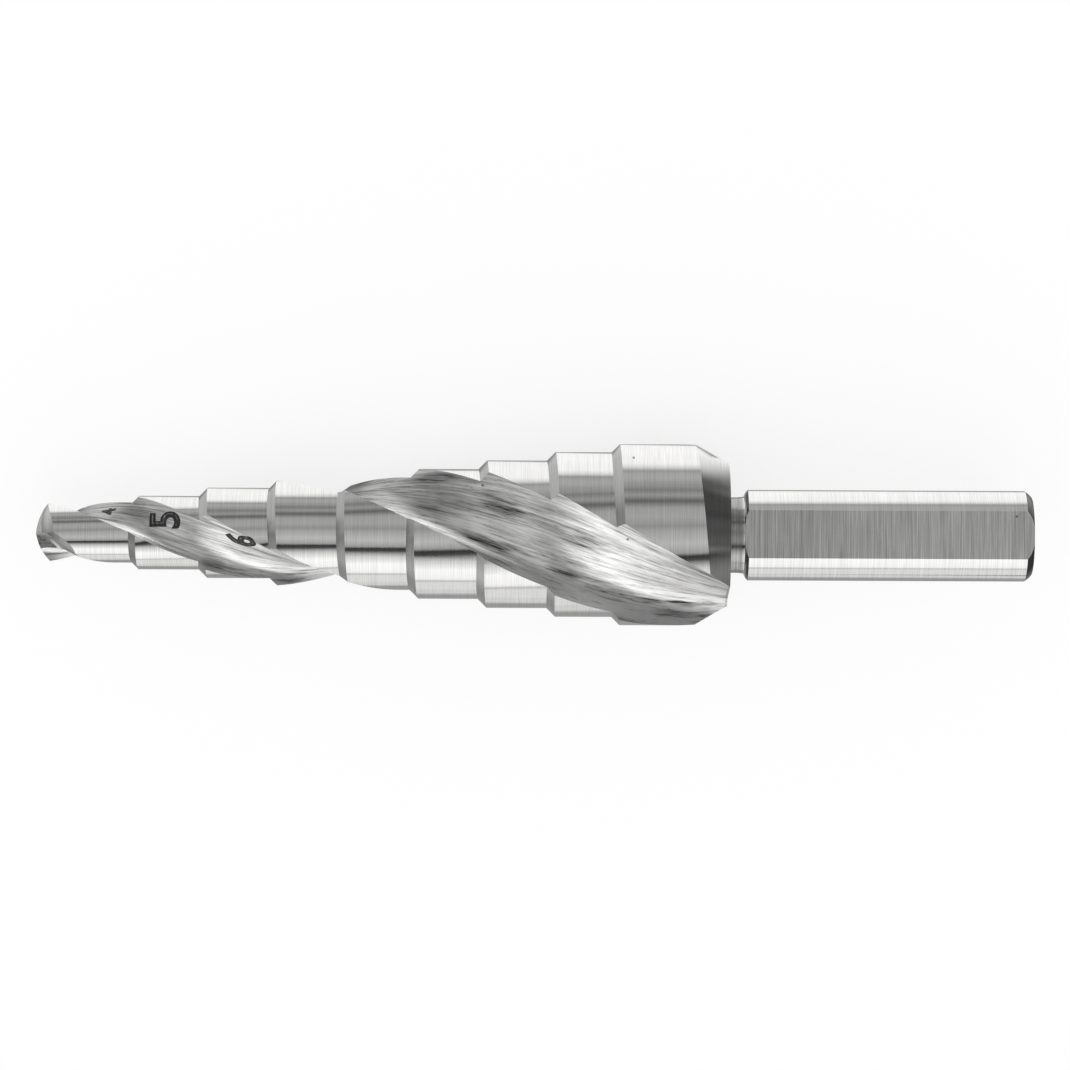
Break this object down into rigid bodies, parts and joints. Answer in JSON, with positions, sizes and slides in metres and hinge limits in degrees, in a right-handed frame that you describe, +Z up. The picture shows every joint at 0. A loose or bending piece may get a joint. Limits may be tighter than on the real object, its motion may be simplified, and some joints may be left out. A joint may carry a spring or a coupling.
{
  "type": "step drill",
  "caption": "Stepped conical drill bit for sheet metal with a split point, two spiral flutes, stepped cutting lands and a three-flat shank.",
  "frame": {"origin": "ground plane under the middle of the drill's bounding box, as it lies at rest on its lands", "axes": "+Z up, +X along the drill from its point towards its shank end, level"},
  "size_m": [0.066, 0.012, 0.0112],
  "materials": {
    "ground_steel": "bright ground high-speed steel with fine grinding lines"
  },
  "bodies": {
    "root": {"step_drill": "ground_steel"}
  },
  "joints": []
}
